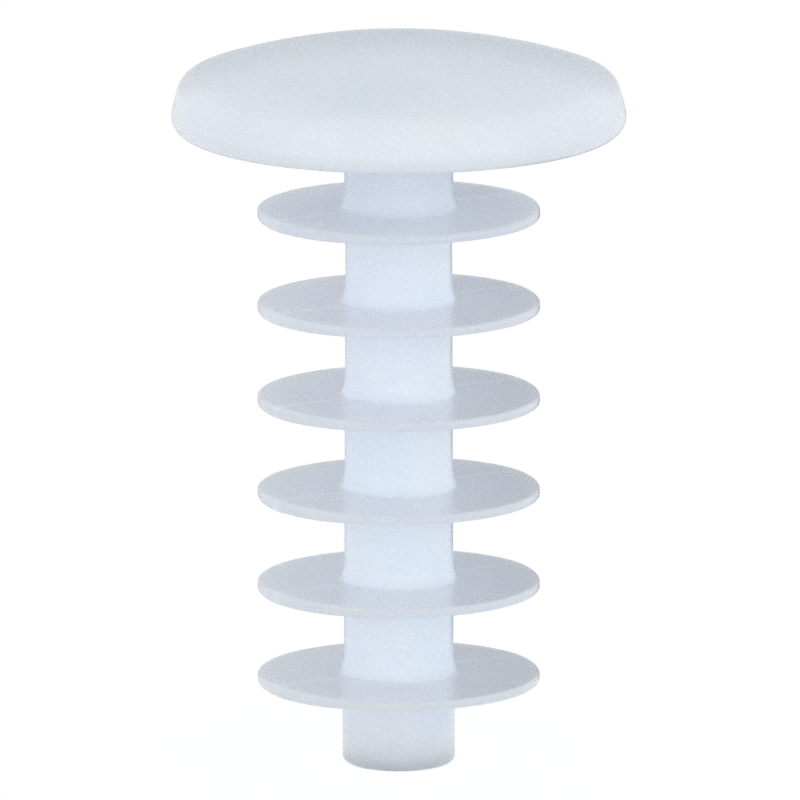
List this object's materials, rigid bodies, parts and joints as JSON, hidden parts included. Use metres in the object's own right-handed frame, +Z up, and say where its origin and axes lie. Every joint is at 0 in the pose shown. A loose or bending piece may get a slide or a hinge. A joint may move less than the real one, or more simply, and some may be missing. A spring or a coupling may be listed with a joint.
{
  "type": "push-in hole plug",
  "caption": "Moulded plastic push-in plug: a low domed round head on a straight shank ringed with thin flexible fins that bend and grip when it is pushed into a hole.",
  "frame": {"origin": "on the plug's axis in the seat plane, the flat underside of the head, where the plug meets the face of the panel", "axes": "+Z up the axis through the head; the shank and fins run down -Z; X lies in the plane where the two halves of the mould meet"},
  "size_m": [0.016, 0.016, 0.0261],
  "materials": {
    "natural_nylon": "milky natural nylon, satin as moulded"
  },
  "bodies": {
    "root": {"plug_body": "natural_nylon"}
  },
  "joints": []
}
